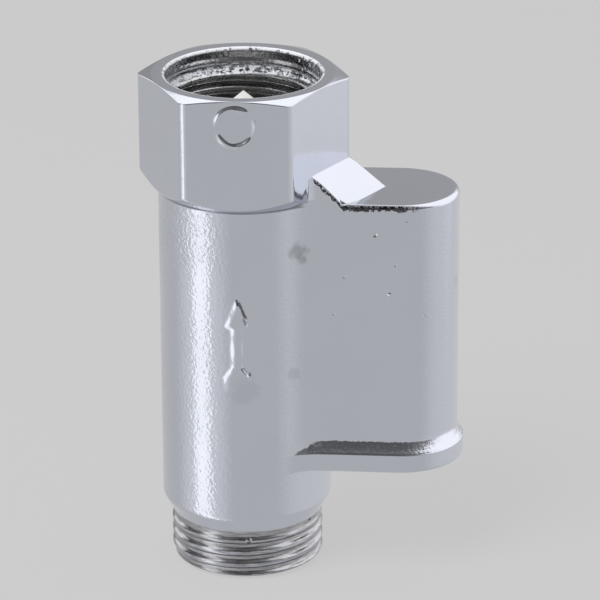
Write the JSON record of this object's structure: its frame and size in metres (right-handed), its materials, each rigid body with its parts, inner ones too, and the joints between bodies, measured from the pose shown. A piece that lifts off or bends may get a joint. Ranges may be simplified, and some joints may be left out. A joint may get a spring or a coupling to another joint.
{
  "type": "water heater safety valve",
  "caption": "Chrome-plated brass safety valve for a storage water heater: hexagonal threaded outlet, threaded inlet, and a side lobe with a relief valve that drains downwards.",
  "frame": {"origin": "centre of the footprint, on the plane of the inlet's end face", "axes": "+Z along the bore towards the outlet, +X towards the side lobe, flow arrow on the -Y side"},
  "size_m": [0.0444, 0.0253, 0.0704],
  "materials": {
    "chrome_plate": "bright plating over a cast surface",
    "white_plastic": "moulded",
    "black_rubber": "moulded",
    "stainless_steel": "drawn wire and stamped sheet",
    "brass": "turned"
  },
  "bodies": {
    "casing": {"valve_body": "chrome_plate", "check_seat": "white_plastic", "check_seat_oring": "black_rubber", "check_guide": "white_plastic", "check_retaining_ring": "stainless_steel", "check_spring": "stainless_steel", "relief_spring": "stainless_steel", "relief_spring_plate": "stainless_steel", "relief_adjuster": "brass", "relief_lock_ring": "brass"},
    "check_valve": {"check_poppet": "white_plastic", "check_seal": "black_rubber", "check_seal_washer": "stainless_steel"},
    "relief_valve": {"relief_disc": "brass", "relief_seal": "black_rubber", "relief_seal_screw": "brass"}
  },
  "joints": [
    {"name": "check_lift", "type": "slide", "parent": "casing", "child": "check_valve", "axis": [0, 0, 1], "range_m": [0, 0.004], "stiffness_N_per_m": 60, "springref_m": -0.008, "deforming": ["check_spring"]},
    {"name": "relief_lift", "type": "slide", "parent": "casing", "child": "relief_valve", "axis": [0, 0, -1], "range_m": [0, 0.0015], "stiffness_N_per_m": 3400, "springref_m": -0.004, "deforming": ["relief_spring"]}
  ]
}
